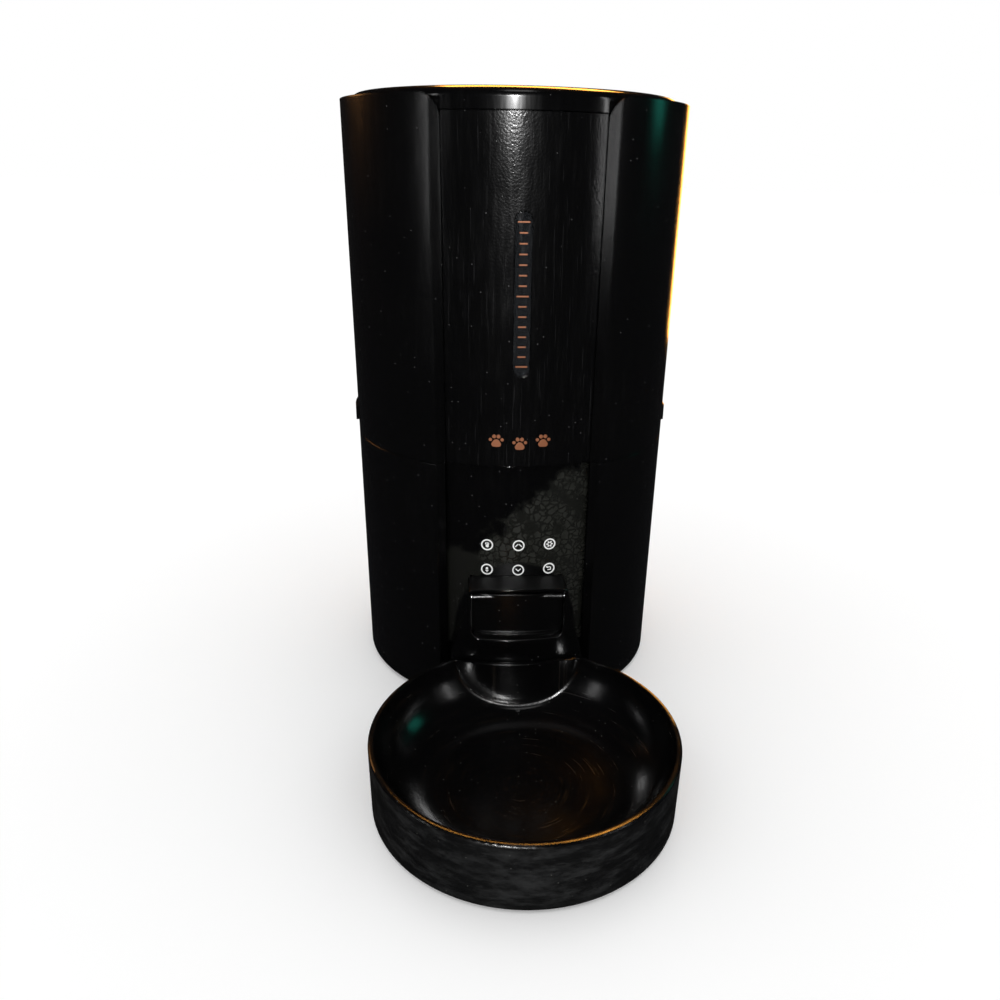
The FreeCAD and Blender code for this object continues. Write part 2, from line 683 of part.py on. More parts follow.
def make_base_housing():
    p = Piece("BaseHousing")
    p.loft(p.sketch("XY", D.base_bottom, base_outline(D.base_radius)),
           p.sketch("XY", D.seam_z, base_outline(D.seam_radius)))
    p.loft(p.sketch("XY", D.base_bottom, base_inside(D.base_bottom, 0)),
           p.sketch("XY", D.seam_z, base_inside(D.seam_z, 0)), "SubtractiveLoft")
    # dock nose: the bowl closes round it and the outlet hood stands on it
    p.pad(p.sketch("XY", D.base_bottom, nose_outline(D.nose_radius, D.nose_half,
                                                     D.face_radius - D.face_thick - 1.3)),
          D.nose_top - D.base_bottom)
    p.pocket(p.sketch("XY", D.base_bottom, nose_outline(D.nose_radius - 2.4, D.nose_half - 2.4,
                                                        D.face_radius - D.face_thick)),
             D.nose_top - D.base_bottom - 2.4, back=True)
    # posts for the deck above and the plate below
    floor = D.base_bottom + D.plate_thick + 0.1
    p.pad(p.sketch("XY", floor, *[(x * D.post_at, y * D.post_at, D.post_radius) for x, y in POSTS]),
          D.deck_z - 0.1 - floor)
    pilots = [(x * D.post_at, y * D.post_at, D.screw_radius + 0.05) for x, y in POSTS]
    p.pocket(p.sketch("XY", floor, *pilots), 12.0, back=True)
    p.pocket(p.sketch("XY", D.deck_z - 0.1, *pilots), 12.0)
    # opening behind the control panel, and the power inlet's hole at the back
    p.pocket(p.sketch("XZ", 60.0, rect(-35.0, 35.0, D.mouth_low - 0.7, 150.0)), 60.0, back=True)
    p.pocket(p.sketch("XZ", 0, rect(-6.2, 6.2, 18.7, 26.3)), 110.0)
    node(p.body, "base_housing")


def make_deck():
    p = Piece("BaseDeck")
    top = D.deck_z + D.deck_thick
    p.pad(p.sketch("XY", D.deck_z, base_inside(D.deck_z, 0.3)), D.deck_thick)
    holes = [(0, 0, D.shaft_radius + 2.0)]
    holes += [(x * D.post_at, y * D.post_at, D.screw_radius + 0.2) for x, y in POSTS]
    p.pocket(p.sketch("XY", top, rect(-D.chute_half, D.chute_half, -47.2, -14.0), *holes),
             D.deck_thick)
    for side in (-1, 1):
        p.pocket(p.sketch("XY", top, rect(86.0 * side, 98.0 * side, -6.5, 6.5)), D.deck_thick)
    p.pad(p.sketch("XY", top, (0, 0, 52.5), (0, 0, 50.5)), 1.8)
    sinks = [(x * D.post_at, y * D.post_at, Dim(3.2, "3.2")) for x, y in POSTS]
    p.pocket(p.sketch("XY", top, *sinks), D.head_sink)
    board_posts = [(x * 30.0, y, 3.0) for x in (-1, 1) for y in (39.0, 75.0)]
    p.pad(p.sketch("XY", D.deck_z, *board_posts), 7.7, back=True)
    motor_posts = [(-22.0, 12.0, 3.5), (22.0, 12.0, 3.5), (0, 27.0, 3.5)]
    p.pad(p.sketch("XY", D.deck_z, *motor_posts), 21.3, back=True)
    pilots = [(x, y, D.screw_radius + 0.05) for x, y, _ in motor_posts]
    p.pocket(p.sketch("XY", D.deck_z - 21.3, *pilots), 12.0, back=True)
    pilots = [(x, y, D.screw_radius + 0.05) for x, y, _ in board_posts]
    p.pocket(p.sketch("XY", D.deck_z - 7.7, *pilots), 7.0, back=True)
    node(p.body, "base_deck")
    screws = [screw(x * D.post_at, y * D.post_at, top - D.head_sink, D.deck_thick + 7.5, up=False)
              for x, y in POSTS]
    node(group(screws), "deck_screws")
    node(tube(D.shaft_radius + 1.9, D.shaft_radius + 0.05, D.deck_thick, 0, 0, D.deck_z), "shaft_seal")


def make_base_plate():
    p = Piece("BasePlate")
    low, top = D.base_bottom, D.base_bottom + D.plate_thick
    p.pad(p.sketch("XY", low, base_inside(D.base_bottom, 0.3)), D.plate_thick)
    gap = D.door_gap
    bay = rect(-D.bay_half - gap, D.bay_half + gap, -D.bay_front - gap, D.bay_back + gap)
    grille = [(0, 66.0, 1.2)]
    for ring, count in ((4.5, 6), (9.0, 12)):
        for i in range(count):
            turn = 2 * math.pi * i / count
            grille.append((ring * math.cos(turn) + 1e-4, 66.0 + ring * math.sin(turn), 1.2))
    holes = [(x * D.post_at, y * D.post_at, D.screw_radius + 0.2) for x, y in POSTS]
    p.pocket(p.sketch("XY", top, bay, *(grille + holes)), D.plate_thick)
    sinks = [(x * D.post_at, y * D.post_at, Dim(3.2, "3.2")) for x, y in POSTS]
    p.pocket(p.sketch("XY", low, *sinks), D.head_sink, back=True)
    node(p.body, "base_plate")
    screws = [screw(x * D.post_at, y * D.post_at, low + D.head_sink, 12.0, up=True) for x, y in POSTS]
    node(group(screws), "base_screws")
    feet = [rod(D.foot_radius, D.base_bottom, x * D.foot_x, y * D.foot_y, 0) for x, y in POSTS]
    node(group(feet), "rubber_feet")


def make_control_panel():
    p = Piece("ControlPanel")
    outer, half = D.face_radius, D.face_half - 0.2
    low = D.nose_top + 0.4
    p.pad(p.sketch("XY", low, sector(outer - D.face_thick + 0.05, outer, half, half)),
          D.seam_z - 0.5 - low)
    p.pocket(p.sketch("XZ", 60.0, rect(-D.mouth_half - 0.3, D.mouth_half + 0.3, D.mouth_low - 0.3,
                                       D.mouth_high + 0.3)), 60.0, back=True)
    node(p.body, "control_panel")


def icon_mark(x, z, strokes):
    """A ring with a sign in it, as pegs that are trimmed to the panel's curve."""
    y, deep = -D.face_radius - 1.0, 4.0
    parts = [tube(D.icon_radius, D.icon_radius - D.icon_ring, deep, x, y, z, "Y")]
    for kind, dx, dz, a, b in strokes:
        if kind == "bar":
            bar = doc.addObject("Part::Box", "Bar")
            bind(bar, "Length", a)
            bind(bar, "Width", deep)
            bind(bar, "Height", D.icon_line)
            bar.Placement.Rotation = FreeCAD.Rotation(FreeCAD.Vector(0, 1, 0), -b)
            parts.append(place(bar, x + dx, y, z + dz))
        elif kind == "ring":
            parts.append(tube(a, b, deep, x + dx, y, z + dz, "Y"))
        else:
            parts.append(rod(a, deep, x + dx, y, z + dz, "Y"))
    return parts


def make_icons():
    up = [("bar", -1.7, -0.9, 2.3, 45.0), ("bar", 0.05, 0.7, 2.3, -45.0)]
    down = [("bar", -1.7, 0.65, 2.3, -45.0), ("bar", 0.05, -1.0, 2.3, 45.0)]
    gear = [("ring", 0.0, 0.0, 1.3, 0.8)]
    gear += [("dot", 1.6 * math.cos(i * math.pi / 3), 1.6 * math.sin(i * math.pi / 3), 0.42, 0.0)
             for i in range(6)]
    hand = [("dot", 0.1, -0.7, 0.95, 0.0), ("bar", -0.7, 0.1, 1.3, 80.0), ("bar", 0.3, 0.1, 1.6, 90.0),
            ("bar", 1.1, 0.1, 1.3, 90.0)]
    voice = [("dot", 0.0, 0.6, 0.75, 0.0), ("bar", -0.9, -1.0, 1.8, 0.0), ("bar", 0.28, -1.9, 1.0, 90.0)]
    back = [("bar", -1.5, 0.6, 2.4, 0.0), ("bar", -1.5, 0.6, 1.1, 45.0), ("bar", -1.4, 0.9, 1.1, -45.0),
            ("bar", 1.3, -0.9, 1.7, 90.0), ("bar", -0.7, -1.1, 1.9, 0.0)]
    rows = ((D.icon_high, (hand, up, gear)), (D.icon_low, (voice, down, back)))
    parts = []
    for z, marks in rows:
        for column, strokes in zip((-1, 0, 1), marks):
            parts += icon_mark(D.icon_x + D.icon_pitch * column, z, strokes)
    skin = tube(D.face_radius + D.print_thick, D.face_radius, 60.0, 0, 0, 70.0)
    node(join("Common", fuse(*parts), skin), "touch_icons")


def make_front_electronics():
    film = Piece("TouchFilm")
    inner = D.face_radius - D.face_thick
    half = Dim(27.0, "27")
    film.pad(film.sketch("XY", 85.5, sector(inner - 0.25, inner - 0.05, half, half)), 30.0)
    node(film.body, "touch_film")
    back = D.face_radius - D.face_thick - 4.2
    node(box(-26.0, 26.0, -back, -back + 3.6, 119.0, 146.0), "display_module")
    node(box(-33.0, 33.0, -back + 3.6, -back + 5.2, 92.0, 149.0), "touch_board")
    node(rod(2.0, 2.0, 29.0, -back + 1.6, 98.0, "Y"), "microphone")
    pair = [box(x, x + 4.0, -76.0, -70.0, 76.0, 84.0) for x in (-31.0, 27.0)]
    node(group(pair), "fill_sensors")


def make_drive():
    plate = box(-27.0, 27.0, -15.0, 32.0, 128.0, 131.0)
    holes = [rod(5.0, 5.0, 0, 0, 127.0)]
    spots = ((-22.0, 12.0), (22.0, 12.0), (0.0, 27.0))
    holes += [rod(D.screw_radius + 0.1, 5.0, x, y, 127.0) for x, y in spots]
    node(cut(plate, fuse(*holes)), "motor_bracket")
    screws = [screw(x, y, Dim(128.0, "128"), 13.5, up=True) for x, y in spots]
    node(group(screws), "motor_screws")
    node(fuse(rod(16.0, 39.9, 0, 0, 88.0), rod(4.8, 2.8, 0, 0, 127.5)), "gearbox")
    node(fuse(rod(13.5, 34.0, 0, 0, 54.0), rod(4.0, 2.0, 0, 0, 52.0)), "motor")
    node(rod(D.shaft_radius, 33.7, 0, 0, 130.4), "drive_shaft")
    p = Piece("DriveCoupler")
    low = D.deck_z + D.deck_thick + 0.6
    p.pad(p.sketch("XY", low, (0, 0, D.coupler_radius), (0, 0, D.shaft_radius)), 9.6)
    half, thick = D.lug_length / 2, D.lug_thick / 2
    lugs = [rect(side * (D.shaft_radius + 1.0), side * half, -thick, thick) for side in (-1, 1)]
    p.pad(p.sketch("XY", D.rotor_bottom + 0.9, *lugs), 4.3)
    node(p.body, "drive_coupler")


def make_board():
    y0, y1 = 34.0, 80.0
    spots = [(x * 30.0, y) for x in (-1, 1) for y in (39.0, 75.0)]
    board = box(-34.0, 34.0, y0, y1, 143.0, 144.6)
    node(cut(board, fuse(*[rod(1.6, 4.0, x, y, 142.0) for x, y in spots])), "main_board")
    node(group([screw(x, y, Dim(143.0, "143"), 7.5, up=True) for x, y in spots]),
         "board_screws")
    blocks = [(-12.0, 2.0, 46.0, 60.0, 141.4), (8.0, 24.0, 44.0, 62.0, 140.2), (-26.0, -18.0, 50.0, 66.0, 136.0),
              (-8.0, 8.0, 70.0, 77.0, 137.0), (14.0, 22.0, 68.0, 74.0, 139.0)]
    parts = [box(a, b, c, d, e, 143.0) for a, b, c, d, e in blocks]
    parts += [rod(3.2, 9.0, x, 66.0, 134.0) for x in (-14.0, 4.0)]
    node(group(parts), "board_components")


def make_chute():
    p = Piece("Chute")
    skin = D.chute_half * 2 + D.chute_wall * 2
    outer = (Path(-49.0, 152.2).to(-12.2, 152.2).to(-12.2, 139.6).to(-77.9, 54.7).to(-96.5, 53.8)
             .to(-96.5, 82.3).to(-77.6, 82.3).to(-49.0, 128.6))
    inner = (Path(-47.2, 153.0).to(-14.0, 153.0).to(-14.0, 140.0).to(-79.0, 56.5).to(-97.5, 55.6)
             .to(-97.5, 80.5).to(-76.7, 80.5).to(-47.2, 128.1))
    p.pad(p.sketch("YZ", 0, outer), skin, both=True)
    p.pocket(p.sketch("YZ", 0, inner), D.chute_half * 2, both=True)
    node(p.body, "chute")


def hood_outline():
    """Bell shape seen from the front: upright top, flared below, slightly crowned."""
    half, low, top = D.hood_half, D.hood_bottom, D.hood_shoulder
    foot_r, waist_r, corner, crown = 32.2, 39.0, 4.0, D.hood_crown
    knee_z, waist_z, neck_z = 51.0, 62.0, 77.0
    crown_z = D.hood_apex - crown
    edge_z = crown_z - chord_y(crown, top - corner)
    path = Path(half, low)
    path.arc(half - 2.7, knee_z, half - foot_r, low, foot_r)
    path.to(top + 3.0, waist_z)
    path.arc(top, neck_z, top + waist_r, neck_z, waist_r, ccw=False)
    path.to(top, edge_z - corner)
    path.arc(top - corner, edge_z, top - corner, edge_z - corner, corner)
    path.arc(corner - top, edge_z, 0, crown_z, crown)
    path.arc(-top, edge_z - corner, corner - top, edge_z - corner, corner)
    path.to(-top, neck_z)
    path.arc(-top - 3.0, waist_z, -top - waist_r, neck_z, waist_r, ccw=False)
    path.to(2.7 - half, knee_z)
    path.arc(-half, low, foot_r - half, low, foot_r)
    return path.to(half, low)


def make_hood():
    p = Piece("OutletHood")
    p.pad(p.sketch("XZ", 76.0, hood_outline()), 36.0)
    # bowed front face, and the back that fits the control panel
    r, wide = D.nose_radius, Dim(46.0, "46")
    outside = (Path(-wide, chord_y(r, wide)).arc(wide, chord_y(r, wide), 0, 0, r)
               .to(wide, -120.0).to(-wide, -120.0).to(-wide, chord_y(r, wide)))
    p.pocket(p.sketch("XY", 60.0, outside), 200.0, both=True)
    p.pocket(p.sketch("XY", 60.0, (0, 0, D.face_radius + 0.05)), 200.0, both=True)
    # way out for the food, hollow below it, and the hinge pin's holes
    a, low, high, c, f = D.mouth_half, D.mouth_low, D.mouth_high, D.mouth_corner, D.mouth_foot
    crown_z = high - D.hood_crown
    edge = crown_z - chord_y(D.hood_crown, a - c)
    mouth = (Path(a, low + f).to(a, edge - c).arc(a - c, edge, a - c, edge - c, c)
             .arc(c - a, edge, 0, crown_z, D.hood_crown).arc(-a, edge - c, c - a, edge - c, c)
             .to(-a, low + f).arc(f - a, low, f - a, low + f, f)
             .to(a - f, low).arc(a, low + f, a - f, low + f, f))
    p.pocket(p.sketch("XZ", 0, mouth), 120.0, back=True)
    p.pocket(p.sketch("XZ", 60.0, rect(-a, a, low, D.mouth_rear)), 37.2, back=True)
    p.pocket(p.sketch("XZ", 60.0, rect(-34.4, 34.4, D.hood_bottom + 2.2, low - 2.2)), 38.6, back=True)
    p.pocket(p.sketch("YZ", 0, (-D.pin_y, D.pin_z, D.pin_radius)), 58.4, both=True)
    node(p.body, "outlet_hood")


def make_flap():
    p = Piece("OutletFlap")
    r, half = D.flap_radius, D.flap_half
    inner = r - D.flap_thick
    p.pad(p.sketch("XY", D.flap_low, sector(inner, r, half, half)), D.flap_high - D.flap_low)
    p.fillet(D.flap_foot, lambda e: abs(e.BoundBox.Center.z - 54.4) < 0.01 and e.BoundBox.XLength < 0.01)
    lip = half - 5.0
    p.pad(p.sketch("XY", D.flap_low + 0.6, sector(r - 0.4, r + 2.0, lip, lip)), 2.2)
    for start in (-half, half - 13.4):
        p.pad(p.sketch("YZ", start, (-D.pin_y, D.pin_z, Dim(2.6, "2.6"))), 13.4)
    p.pocket(p.sketch("YZ", 0, (-D.pin_y, D.pin_z, D.pin_radius + D.pin_clear)), 80.0, both=True)
    node(p.body, "outlet_flap")
    node(rod(D.pin_radius, 58.2, -29.1, -D.pin_y, D.pin_z, "X"), "flap_pin")


def make_rear():
    node(fuse(rod(15.0, 8.0, 0, 66.0, 5.6), rod(8.0, 4.6, 0, 66.0, 13.6)), "speaker")
    body = box(-6.0, 6.0, 82.6, 95.9, 19.0, 26.0)
    slot = cut(box(-4.6, 4.6, 87.9, 95.9, 20.9, 24.1), box(-3.4, 3.4, 87.9, 94.4, 22.1, 22.9))
    node(cut(body, slot), "power_inlet")


def make_battery_bay():
    h, f, b, t = D.bay_half, D.bay_front, D.bay_back, D.bay_wall
    low = D.base_bottom + D.plate_thick
    inner = box(-h + t, h - t, -f + t, b - t, low, D.bay_top - t)
    node(cut(box(-h, h, -f, b, low, D.bay_top), inner), "battery_box")
    mid = (low + D.bay_top - t) / 2
    back = b - t - 0.5
    cells, springs, tabs = [], [], []
    for i in (-1, 0, 1):
        x = D.cell_pitch * i
        cells.append(fuse(rod(D.cell_radius, D.cell_length, x, back - 1.5 - D.cell_length, mid, "Y"),
                          rod(4.6, 1.5, x, back - 1.5, mid, "Y")))
        tabs.append(box(x - 6.0, x + 6.0, back, b - t, mid - 6.0, mid + 6.0))
        cell_end = back - 1.5 - D.cell_length
        springs.append(leaf_spring(f"CellSpring{i + 2}", t - f + 0.05, cell_end - 0.2, x, mid - 4.0, 8.0,
                                   "Y"))
    node(group(cells), "battery_cells")
    node(group(tabs), "battery_contacts")
    node(group(springs), "battery_springs")
    p = Piece("BatteryDoor")
    p.pad(p.sketch("XY", low - D.plate_thick, rect(-h, h, -f, b)), 2.2)
    grips = [rect(-12.0, 12.0, y, y + 1.2) for y in (-20.0, -17.0, -14.0)]
    p.pocket(p.sketch("XY", low - D.plate_thick, *grips), 0.8, back=True)
    node(p.body, "battery_door")


# ---------------------------------------------------------------- bowl

def make_bowl():
    solid, hollow = Piece("BowlOutside"), Piece("BowlInside")
    r, e = D.bowl_radius, 1.4
    solid.turn(solid.sketch("XZ", 0, Path(0, D.bowl_low).to(D.bowl_foot - 1.4, D.bowl_low)
                            .to(D.bowl_foot, D.bowl_low + 1.4).to(r, D.bowl_tall - e)
                            .arc(r - e, D.bowl_tall, r - e, D.bowl_tall - e, e).to(0, D.bowl_tall)))
    centre_r, centre_z = D.bowl_inner - D.bowl_round, D.bowl_floor + D.bowl_round
    hollow.turn(hollow.sketch("XZ", 0, Path(0, D.bowl_floor).to(centre_r, D.bowl_floor)
                              .arc(D.bowl_inner, centre_z, centre_r, centre_z, D.bowl_round)
                              .to(0, centre_z)))
    for part in (solid, hollow):
        bind(part.body, "Placement.Base.y", -D.bowl_y)
    outside = cut(solid.body, rod(D.bite_radius, 60.0, 0, 0, -5.0))
    inside = cut(hollow.body, rod(D.bite_radius + D.bite_wall, 60.0, 0, 0, -5.0))
    node(cut(outside, blend_edges(inside, D.bite_blend, lambda e: e.BoundBox.XLength > 20.0
                                  and e.BoundBox.ZLength > 3.0 and e.BoundBox.YMax > -125.0)), "bowl")
    pads = []
    for turn in (90.0, 210.0, 330.0):
        x = Dim(math.cos(math.radians(turn)) * 56.0, f"(56 * cos({turn}))")
        y = Dim(math.sin(math.radians(turn)) * -56.0, f"(-56 * sin({turn}))")
        pads.append(rod(6.0, D.bowl_low, x, y - D.bowl_y - 8.0, 0))
    node(group(pads), "bowl_pads")


for make in (make_tank_housing, make_front_panel, make_level_window, make_emblem, make_tank_floor,
             make_funnel, make_rotor, make_buttons, make_lid, make_base_housing, make_deck,
             make_base_plate, make_control_panel, make_icons, make_front_electronics, make_drive,
             make_board, make_chute, make_hood, make_flap, make_rear, make_battery_bay, make_bowl):
    make()

doc.recompute()
for item in doc.Objects:
    if "Invalid" in item.State or "Error" in item.State:
        raise RuntimeError(f"{item.Label} ({item.Name}) failed: {item.State}")
os.makedirs("parts", exist_ok=True)
for item in nodes:
    shape = item.Shape
    if shape.isNull() or not shape.isValid() or not shape.Solids:
        raise RuntimeError(f"{item.Label} has no valid solid")
    shape.exportStep(f"parts/{item.Label}.step")
print(len(nodes), "nodes")
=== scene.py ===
import json
import math

import bpy
from mathutils import Matrix, Vector

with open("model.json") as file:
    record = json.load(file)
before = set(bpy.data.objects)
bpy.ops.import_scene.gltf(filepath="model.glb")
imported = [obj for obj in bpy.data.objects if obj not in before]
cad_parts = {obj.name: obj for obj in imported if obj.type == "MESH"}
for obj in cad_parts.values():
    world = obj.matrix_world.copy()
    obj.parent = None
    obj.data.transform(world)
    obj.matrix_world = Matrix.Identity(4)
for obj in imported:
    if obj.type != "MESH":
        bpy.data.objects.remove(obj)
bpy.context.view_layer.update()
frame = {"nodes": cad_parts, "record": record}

nodes = frame["nodes"]
TOWER_Y = 0.07675       # the tower's axis in the frame
BOWL_Y = TOWER_Y - 0.17275


# ---------------------------------------------------------------- node helpers

class Mat:
    """A Principled material and short ways to add nodes to it."""

    def __init__(self, name, base, rough, **sockets):
        self.mat = bpy.data.materials.new(name)
        self.mat.use_nodes = True
        self.tree = self.mat.node_tree
        self.tree.nodes.clear()
        self.out = self.node("ShaderNodeOutputMaterial")
        self.bsdf = self.node("ShaderNodeBsdfPrincipled")
        self.tree.links.new(self.bsdf.outputs[0], self.out.inputs[0])
        self.bsdf.inputs["Base Color"].default_value = (*base, 1)
        self.bsdf.inputs["Roughness"].default_value = rough
        for key, value in sockets.items():
            self.bsdf.inputs[key.replace("_", " ")].default_value = value
        self.coords = self.node("ShaderNodeTexCoord").outputs["Object"]

    def node(self, kind, **props):
        n = self.tree.nodes.new(kind)
        for key, value in props.items():
            setattr(n, key, value)
        return n

    def feed(self, socket, value):
        if isinstance(value, bpy.types.NodeSocket):
            self.tree.links.new(value, socket)
        else:
            socket.default_value = value

    def math(self, op, a, b=0.0, clamp=False):
        n = self.node("ShaderNodeMath", operation=op, use_clamp=clamp)
        self.feed(n.inputs[0], a)
        self.feed(n.inputs[1], b)
        return n.outputs[0]

    def stretched(self, scale, turn=(0, 0, 0), at=(0, 0, 0)):
        n = self.node("ShaderNodeMapping")
        self.feed(n.inputs["Vector"], self.coords)
        n.inputs["Scale"].default_value = scale
        n.inputs["Rotation"].default_value = turn
        n.inputs["Location"].default_value = at
        return n.outputs[0]

    def noise(self, scale, detail=3.0, rough=0.55, vector=None, distort=0.0):
        n = self.node("ShaderNodeTexNoise")
        self.feed(n.inputs["Vector"], self.coords if vector is None else vector)
        n.inputs["Scale"].default_value = scale
        n.inputs["Detail"].default_value = detail
        n.inputs["Roughness"].default_value = rough
        n.inputs["Distortion"].default_value = distort
        return n.outputs["Fac"]

    def cells(self, scale, feature="F1", vector=None):
        n = self.node("ShaderNodeTexVoronoi", feature=feature)
        self.feed(n.inputs["Vector"], self.coords if vector is None else vector)
        n.inputs["Scale"].default_value = scale
        return n

    def span(self, value, low, high, to_low=0.0, to_high=1.0):
        """Smooth step of a value from low..high onto to_low..to_high."""
        n = self.node("ShaderNodeMapRange", interpolation_type="SMOOTHSTEP")
        self.feed(n.inputs["Value"], value)
        for key, number in (("From Min", low), ("From Max", high), ("To Min", to_low), ("To Max", to_high)):
            n.inputs[key].default_value = number
        return n.outputs[0]

    def mix(self, fac, a, b):
        n = self.node("ShaderNodeMix", data_type="RGBA")
        self.feed(n.inputs[0], fac)
        self.feed(n.inputs[6], a if isinstance(a, bpy.types.NodeSocket) else (*a, 1))
        self.feed(n.inputs[7], b if isinstance(b, bpy.types.NodeSocket) else (*b, 1))
        return n.outputs[2]

    def axis(self, which):
        n = self.node("ShaderNodeSeparateXYZ")
        self.feed(n.inputs[0], self.coords)
        return n.outputs[which]

    def round_edges(self, radius):
        n = self.node("ShaderNodeBevel", samples=4)
        n.inputs["Radius"].default_value = radius
        return n.outputs[0]

    def bump(self, height, depth, strength=1.0, normal=None):
        n = self.node("ShaderNodeBump")
        self.feed(n.inputs["Height"], height)
        n.inputs["Distance"].default_value = depth
        n.inputs["Strength"].default_value = strength
        if normal is not None:
            self.feed(n.inputs["Normal"], normal)
        return n.outputs[0]

    def set(self, **links):
        for key, value in links.items():
            self.feed(self.bsdf.inputs[key.replace("_", " ")], value)
        return self


def specks(m, scale, size, share):
    """Mask of separate dust specks: small dots in a share of the cells."""
    v = m.cells(scale)
    dot = m.span(v.outputs["Distance"], size, size * 0.6)
    pick = m.node("ShaderNodeSeparateColor")
    m.feed(pick.inputs[0], v.outputs["Color"])
    chosen = m.math("LESS_THAN", pick.outputs[0], share)
    return m.math("MULTIPLY", dot, chosen)


def scratches(m, scale, stretch, turn, low, high):
    """Mask of thin, nearly straight marks."""
    lines = m.noise(scale, 2.0, 0.4, m.stretched(stretch, turn))
    return m.span(lines, low, high)


def black_plastic(name, base, rough, grain=0.0, grain_scale=2600.0, streak=0.25, dust=0.15, wear=0.3,
                  edge=0.0006):
    """Moulded black plastic: faint grain, wipe streaks, fine scratches and a little dust."""
    m = Mat(name, base, rough, Specular_IOR_Level=0.5)
    cloud = m.noise(14.0, 4.0, 0.6)
    streaks = m.noise(60.0, 3.0, 0.6, m.stretched((6.0, 6.0, 0.7), (0.1, 0.06, 0.0)))
    marks = scratches(m, 90.0, (14.0, 14.0, 0.35), (0.5, 0.35, 0.2), 0.70, 0.76)
    fleck = specks(m, 260.0, 0.09, dust)
    rough_now = m.math("ADD", m.span(cloud, 0.3, 0.7, rough * 0.85, rough * 1.2),
                       m.span(streaks, 0.35, 0.75, 0.0, streak * rough))
    dull = m.math("MAXIMUM", m.math("MULTIPLY", marks, wear), fleck)
    rough_now = m.math("ADD", rough_now, m.math("MULTIPLY", dull, 0.25), True)
    haze = m.math("MULTIPLY", m.span(streaks, 0.45, 0.8), m.span(cloud, 0.4, 0.75))
    tone = m.mix(m.math("MULTIPLY", haze, 0.4), base, tuple(c * 2.0 + 0.003 for c in base))
    tone = m.mix(m.math("MULTIPLY", fleck, 0.8), tone, (0.10, 0.10, 0.10))
    normal = m.round_edges(edge)
    if grain:
        normal = m.bump(m.noise(grain_scale, 2.0, 0.5), 0.0002, grain, normal)
    return m.set(Base_Color=tone, Roughness=rough_now, Normal=normal)


def plain(name, base, rough, metal=0.0, grain=0.1, scale=900.0, vary=0.15, **sockets):
    """Inner or small parts: colour and roughness vary a little, with fine surface relief."""
    m = Mat(name, base, rough, Metallic=metal, **sockets)
    cloud = m.noise(40.0, 4.0, 0.6)
    tone = m.mix(cloud, tuple(c * (1 - vary) for c in base), tuple(min(1.0, c * (1 + vary)) for c in base))
    return m.set(Base_Color=tone, Roughness=m.span(cloud, 0.3, 0.7, rough * 0.85, min(1.0, rough * 1.2)),
                 Normal=m.bump(m.noise(scale, 3.0), 0.0002, grain, m.round_edges(0.0003)))


# ---------------------------------------------------------------- finishes

BLACK = (0.0018, 0.0018, 0.0020)


def control_finish():
    """Polished black with dried water marks over the touch marks; their lighter film is partly a painted
    reflection of the bowl.
    """
    m = black_plastic("gloss_black", BLACK, 0.10, dust=0.35, streak=0.6, edge=0.0005)
    warp = m.node("ShaderNodeTexNoise")
    m.feed(warp.inputs["Vector"], m.coords)
    warp.inputs["Scale"].default_value = 220.0
    pull = m.node("ShaderNodeVectorMath", operation="MULTIPLY_ADD")
    m.feed(pull.inputs[0], warp.outputs["Color"])
    pull.inputs[1].default_value = (0.004, 0.004, 0.004)
    m.feed(pull.inputs[2], m.coords)
    drops = m.cells(250.0, "DISTANCE_TO_EDGE", pull.outputs[0])
    patch = m.math("MULTIPLY", m.span(drops.outputs["Distance"], 0.05, 0.17),
                   m.span(m.noise(90.0, 3.0), 0.34, 0.56))
    x, z = m.axis(0), m.axis(2)
    # the marks end below a slanting line, and an arch round the outlet is left without the lighter film: a
    # painted dark reflection
    arch_wide, arch_foot, arch_tall = 0.037, 0.045, 0.050
    ragged = m.span(m.noise(60.0, 3.0), 0.3, 0.7, -0.008, 0.008)
    height = m.math("ADD", m.math("ADD", z, m.math("MULTIPLY", x, -0.75)), ragged)
    across = m.math("POWER", m.math("DIVIDE", x, arch_wide), 2.0)
    upward = m.math("POWER", m.math("DIVIDE", m.math("SUBTRACT", z, arch_foot), arch_tall), 2.0)
    outside_painted_arch = m.span(m.math("ADD", across, upward), 0.96, 1.06)
    # lighter film over the lower panel: dried water marks, and partly a painted reflection of the bowl
    film = m.math("MULTIPLY", m.span(height, 0.129, 0.121), outside_painted_arch)
    wet = m.span(m.math("ADD", x, ragged), -0.022, -0.010)
    blotch = m.math("MULTIPLY", m.math("MULTIPLY", patch, wet), 0.62)
    stain_and_painted_reflection = m.math("MULTIPLY", film, m.math("ADD", 0.38, blotch))
    tone = m.mix(stain_and_painted_reflection, m.bsdf.inputs["Base Color"].links[0].from_socket, (0.021, 0.022, 0.0175))
    rough = m.math("ADD", m.bsdf.inputs["Roughness"].links[0].from_socket, m.math("MULTIPLY", stain_and_painted_reflection, 0.25),
                   True)
    return m.set(Base_Color=tone, Roughness=rough)


